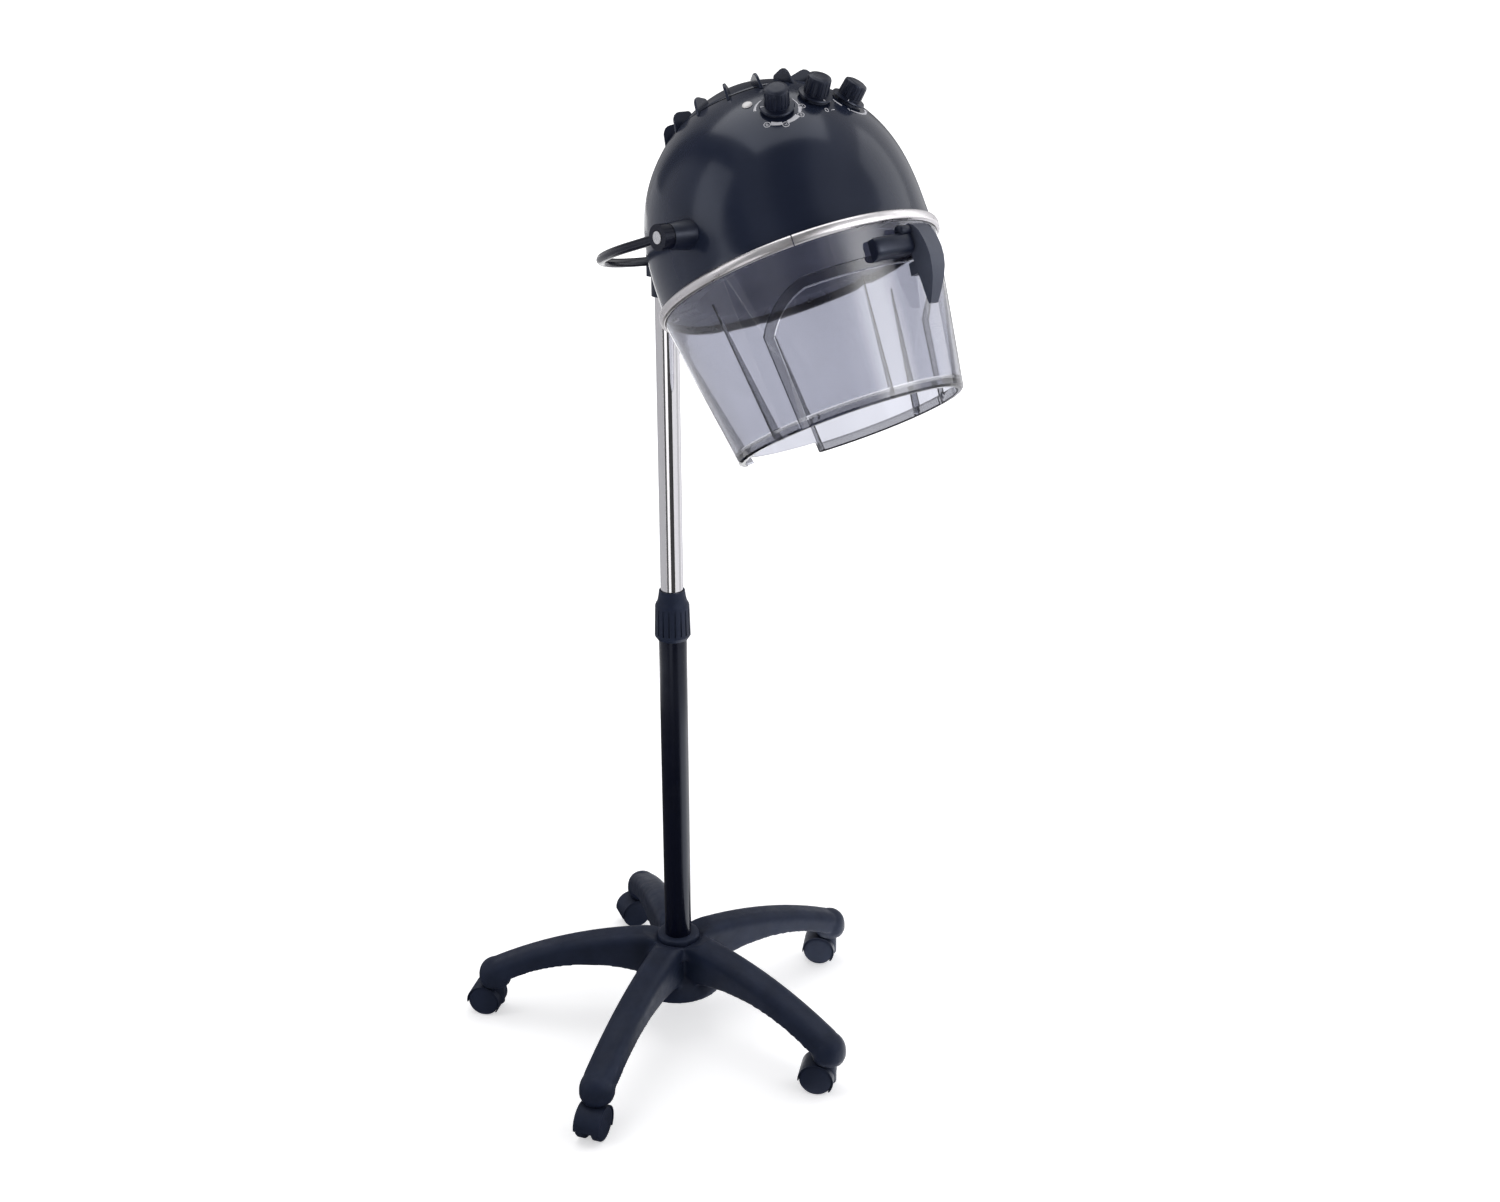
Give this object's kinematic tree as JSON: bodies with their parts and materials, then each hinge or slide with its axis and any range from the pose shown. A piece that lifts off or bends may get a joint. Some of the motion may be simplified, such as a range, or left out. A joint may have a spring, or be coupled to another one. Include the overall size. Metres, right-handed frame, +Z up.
{
  "type": "hood hair dryer",
  "caption": "Salon hood hair dryer: glossy dome with knobs and clear flapped skirt, tilting in a bent-rod yoke on a telescopic mast with a star base on twin-wheel casters.",
  "frame": {"origin": "on the floor, on the mast axis, at the centre of the star base", "axes": "+Z up, the hood's front faces -Y, +X is toward the hood's left side seen from behind it"},
  "size_m": [0.5309, 0.662, 1.2249],
  "materials": {
    "base_plastic": "fine texture",
    "black_enamel": "gloss",
    "black_gloss": "gloss",
    "black_satin": "satin",
    "grey_plastic": "satin",
    "chrome": "polished",
    "steel": "zinc plated",
    "trim": "brushed",
    "smoke_clear": "clear smoke-tinted plastic",
    "nylon": "natural nylon",
    "bowl_grey": "satin",
    "mica": "mica sheet",
    "coil": "resistance wire",
    "lamp": "clear lens",
    "rubber": "soft"
  },
  "bodies": {
    "base": {"base_star": "base_plastic", "base_collar": "base_plastic", "base_plug": "base_plastic", "base_bolt": "steel", "caster_stems": "steel", "lower_tube": "black_enamel", "guide_bush": "nylon", "collet": "nylon"},
    "lock_collar_body": {"lock_collar": "base_plastic"},
    "mast": {"mast_tube": "chrome", "mast_glide": "nylon"},
    "yoke_body": {"yoke_bracket": "black_satin", "bracket_cap": "black_satin", "bracket_screws": "steel", "yoke": "black_enamel", "friction_washers": "rubber"},
    "hood": {"dome_shell": "black_gloss", "vent_cap": "black_gloss", "pivot_bosses": "black_satin", "pivot_screws": "steel", "trim_ring": "trim", "hood_skirt": "smoke_clear", "diffuser_bowl": "bowl_grey", "shell_screws": "steel", "motor_bracket": "steel", "motor": "steel", "heater_frame": "mica", "heater_coil": "coil", "thermostat": "mica", "terminal_block": "nylon", "cable_gland": "rubber", "timer_unit": "nylon", "power_switch": "black_satin", "heat_control": "nylon", "indicator_lamp": "lamp", "control_bezels": "black_satin", "hinge_block": "black_satin", "hinge_pin": "steel"},
    "fan": {"fan_impeller": "nylon", "motor_shaft": "steel"},
    "timer_knob": {"knob_timer": "black_satin"},
    "power_knob": {"knob_power": "black_satin"},
    "heat_knob": {"knob_heat": "black_satin"},
    "flap_body": {"flap": "smoke_clear", "flap_lever": "grey_plastic"},
    "caster_1": {"caster_1_cowl": "base_plastic"},
    "caster_1_wheel_set": {"caster_1_wheels": "base_plastic", "caster_1_axle": "steel"},
    "caster_2": {"caster_2_cowl": "base_plastic"},
    "caster_2_wheel_set": {"caster_2_wheels": "base_plastic", "caster_2_axle": "steel"},
    "caster_3": {"caster_3_cowl": "base_plastic"},
    "caster_3_wheel_set": {"caster_3_wheels": "base_plastic", "caster_3_axle": "steel"},
    "caster_4": {"caster_4_cowl": "base_plastic"},
    "caster_4_wheel_set": {"caster_4_wheels": "base_plastic", "caster_4_axle": "steel"},
    "caster_5": {"caster_5_cowl": "base_plastic"},
    "caster_5_wheel_set": {"caster_5_wheels": "base_plastic", "caster_5_axle": "steel"}
  },
  "joints": [
    {"name": "caster_1_swivel", "type": "hinge", "parent": "base", "child": "caster_1", "pos_m": [0.24744, -0.03566, 0.034], "axis": [0, 0, 1], "continuous": true},
    {"name": "caster_1_roll", "type": "hinge", "parent": "caster_1", "child": "caster_1_wheel_set", "pos_m": [0.23844, -0.02493, 0.021], "axis": [-0.766, -0.6428, 0], "continuous": true},
    {"name": "caster_2_swivel", "type": "hinge", "parent": "base", "child": "caster_2", "pos_m": [0.04255, -0.24635, 0.034], "axis": [0, 0, 1], "continuous": true},
    {"name": "caster_2_roll", "type": "hinge", "parent": "caster_2", "child": "caster_2_wheel_set", "pos_m": [0.03413, -0.23517, 0.021], "axis": [-0.7986, -0.6018, 0], "continuous": true},
    {"name": "caster_3_swivel", "type": "hinge", "parent": "base", "child": "caster_3", "pos_m": [-0.22115, -0.1166, 0.034], "axis": [0, 0, 1], "continuous": true},
    {"name": "caster_3_roll", "type": "hinge", "parent": "caster_3", "child": "caster_3_wheel_set", "pos_m": [-0.23327, -0.1236, 0.021], "axis": [0.5, -0.866, 0], "continuous": true},
    {"name": "caster_4_swivel", "type": "hinge", "parent": "base", "child": "caster_4", "pos_m": [-0.17923, 0.17429, 0.034], "axis": [0, 0, 1], "continuous": true},
    {"name": "caster_4_roll", "type": "hinge", "parent": "caster_4", "child": "caster_4_wheel_set", "pos_m": [-0.18765, 0.18547, 0.021], "axis": [-0.7986, -0.6018, 0], "continuous": true},
    {"name": "caster_5_swivel", "type": "hinge", "parent": "base", "child": "caster_5", "pos_m": [0.11038, 0.22431, 0.034], "axis": [0, 0, 1], "continuous": true},
    {"name": "caster_5_roll", "type": "hinge", "parent": "caster_5", "child": "caster_5_wheel_set", "pos_m": [0.09722, 0.2291, 0.021], "axis": [-0.342, -0.9397, 0], "continuous": true},
    {"name": "lock_collar_turn", "type": "hinge", "parent": "base", "child": "lock_collar_body", "pos_m": [0, 0, 0.58], "axis": [0, 0, 1], "range_deg": [0, 90]},
    {"name": "mast_height", "type": "slide", "parent": "base", "child": "mast", "axis": [0, 0, 1], "range_m": [-0.3, 0.09]},
    {"name": "yoke_swivel", "type": "hinge", "parent": "mast", "child": "yoke_body", "pos_m": [0, 0, 0.99], "axis": [0, 0, 1], "continuous": true},
    {"name": "hood_tilt", "type": "hinge", "parent": "yoke_body", "child": "hood", "pos_m": [0, -0.21559, 1.07405], "axis": [1, 0, 0], "range_deg": [-30, 34]},
    {"name": "flap_lift", "type": "hinge", "parent": "hood", "child": "flap_body", "pos_m": [0.02004, -0.36416, 1.07892], "axis": [-0.9914, -0.1141, 0.0635], "range_deg": [0, 85]},
    {"name": "timer_knob_turn", "type": "hinge", "parent": "hood", "child": "timer_knob", "pos_m": [-0.05639, -0.24871, 1.18968], "axis": [-0.3947, -0.3757, 0.8385], "range_deg": [-300, 0]},
    {"name": "power_knob_turn", "type": "hinge", "parent": "hood", "child": "power_knob", "pos_m": [-0.01253, -0.25525, 1.19884], "axis": [-0.0877, -0.4223, 0.9022], "range_deg": [-60, 0]},
    {"name": "heat_knob_turn", "type": "hinge", "parent": "hood", "child": "heat_knob", "pos_m": [0.02801, -0.25923, 1.19441], "axis": [0.196, -0.4492, 0.8716], "range_deg": [-180, 0]},
    {"name": "fan_spin", "type": "hinge", "parent": "hood", "child": "fan", "pos_m": [0, -0.14705, 1.15607], "axis": [0, 0.4863, 0.8738], "continuous": true}
  ]
}
